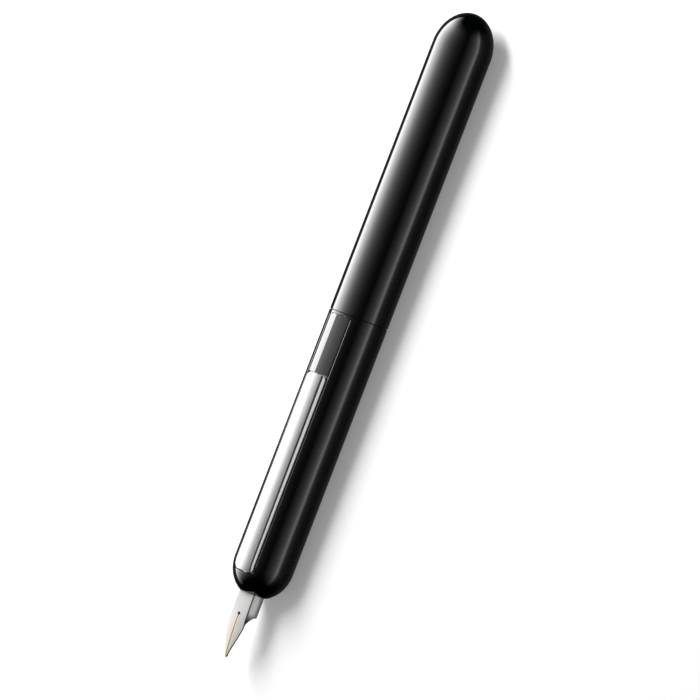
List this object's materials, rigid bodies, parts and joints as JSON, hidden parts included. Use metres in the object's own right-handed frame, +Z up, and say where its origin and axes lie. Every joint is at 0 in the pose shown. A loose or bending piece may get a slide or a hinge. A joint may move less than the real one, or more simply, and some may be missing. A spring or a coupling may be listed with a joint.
{
  "type": "retractable fountain pen",
  "caption": "Capless twist-action fountain pen: gloss black body with rounded ends, flush metal clip in a long slot, two-tone nib.",
  "frame": {"origin": "under the middle of the pen, on the surface it lies on", "axes": "+X along the pen from the nib's tip towards the rear end, +Y across it, +Z up through the clip"},
  "size_m": [0.1532, 0.0138, 0.0137],
  "materials": {
    "lacquer": "high-gloss black lacquer over metal",
    "polished_clip": "polished palladium-like plating",
    "polished_steel": "polished",
    "spring_steel": "fine brushed",
    "machined_alloy": "turned",
    "brass": "turned",
    "black_plastic": "gloss",
    "feed_plastic": "satin",
    "seal_rubber": "smooth",
    "nib_metal": "polished, with a gilded band beside the slit",
    "tipping": "satin",
    "clear_plastic": "clear",
    "white_plastic": "gloss"
  },
  "bodies": {
    "front": {"front_barrel": "lacquer", "seal_ring": "seal_rubber", "shutter_cage": "machined_alloy", "trunnion_left": "spring_steel", "trunnion_right": "spring_steel", "chassis": "machined_alloy", "slot_panel": "lacquer", "clip_pin": "spring_steel", "clip_spring": "spring_steel", "seam_washer": "black_plastic", "chassis_ring": "machined_alloy", "retaining_ring": "spring_steel"},
    "lid_upper": {"lid_upper": "polished_steel"},
    "lid_lower": {"lid_lower": "polished_steel"},
    "sled": {"sled": "spring_steel", "sled_pin": "spring_steel"},
    "lever": {"clip_lever": "spring_steel"},
    "clip": {"clip": "polished_clip"},
    "drive": {"drive_sleeve": "brass", "sleeve_ring": "seal_rubber"},
    "rear": {"rear_barrel": "lacquer", "rear_bush": "brass", "rear_weight": "brass"},
    "nib_unit": {"carriage": "machined_alloy", "follower_pin": "spring_steel", "section": "black_plastic", "section_ring": "seal_rubber", "nib": "nib_metal", "nib_tipping": "tipping", "feed": "feed_plastic", "nipple": "feed_plastic", "ink_tube": "clear_plastic", "converter_collar": "polished_steel", "collar_ring": "seal_rubber"},
    "piston": {"piston": "white_plastic", "piston_seal_front": "seal_rubber", "piston_seal_rear": "seal_rubber", "piston_rod": "white_plastic"},
    "knob": {"knob": "black_plastic", "knob_nut": "machined_alloy", "knob_cap": "polished_steel"}
  },
  "joints": [
    {"name": "twist", "type": "hinge", "parent": "front", "child": "drive", "pos_m": [0, 0, 0.00685], "axis": [1, 0, 0], "range_deg": [0, 270]},
    {"name": "nib_slide", "type": "slide", "parent": "front", "child": "nib_unit", "axis": [1, 0, 0], "range_m": [0, 0.026]},
    {"name": "sled_slide", "type": "slide", "parent": "front", "child": "sled", "axis": [-1, 0, 0], "range_m": [0, 0.00131]},
    {"name": "lid_upper_turn", "type": "hinge", "parent": "front", "child": "lid_upper", "pos_m": [-0.054, 0, 0.00685], "axis": [0, -1, 0], "range_deg": [0, 51.6]},
    {"name": "lid_lower_turn", "type": "hinge", "parent": "front", "child": "lid_lower", "pos_m": [-0.054, 0, 0.00685], "axis": [0, 1, 0], "range_deg": [0, 51.6]},
    {"name": "clip_rise", "type": "hinge", "parent": "front", "child": "lever", "pos_m": [-0.0514, 0, 0.0126], "axis": [0, -1, 0], "range_deg": [0, 2.4]},
    {"name": "clip_lift", "type": "hinge", "parent": "lever", "child": "clip", "pos_m": [-0.0514, 0, 0.0126], "axis": [0, -1, 0], "range_deg": [0, 2], "stiffness_Nm_per_rad": 0.4, "springref_deg": -0.57, "deforming": ["clip_spring"]},
    {"name": "barrel_pull", "type": "slide", "parent": "drive", "child": "rear", "axis": [1, 0, 0], "range_m": [0, 0.075]},
    {"name": "knob_turn", "type": "hinge", "parent": "nib_unit", "child": "knob", "pos_m": [0, 0, 0.00685], "axis": [1, 0, 0], "range_deg": [0, 1980]},
    {"name": "piston_slide", "type": "slide", "parent": "nib_unit", "child": "piston", "axis": [1, 0, 0], "range_m": [0, 0.022]}
  ],
  "couplings": [
    {"joint": "twist", "follows": "nib_slide", "rad_per_m": 181.25},
    {"joint": "sled_slide", "follows": "nib_slide", "ratio": 0.050219},
    {"joint": "lid_upper_turn", "follows": "nib_slide", "rad_per_m": 34.638},
    {"joint": "lid_lower_turn", "follows": "nib_slide", "rad_per_m": 34.638},
    {"joint": "clip_rise", "follows": "nib_slide", "rad_per_m": 1.6111},
    {"joint": "knob_turn", "follows": "piston_slide", "rad_per_m": 1570.8}
  ]
}
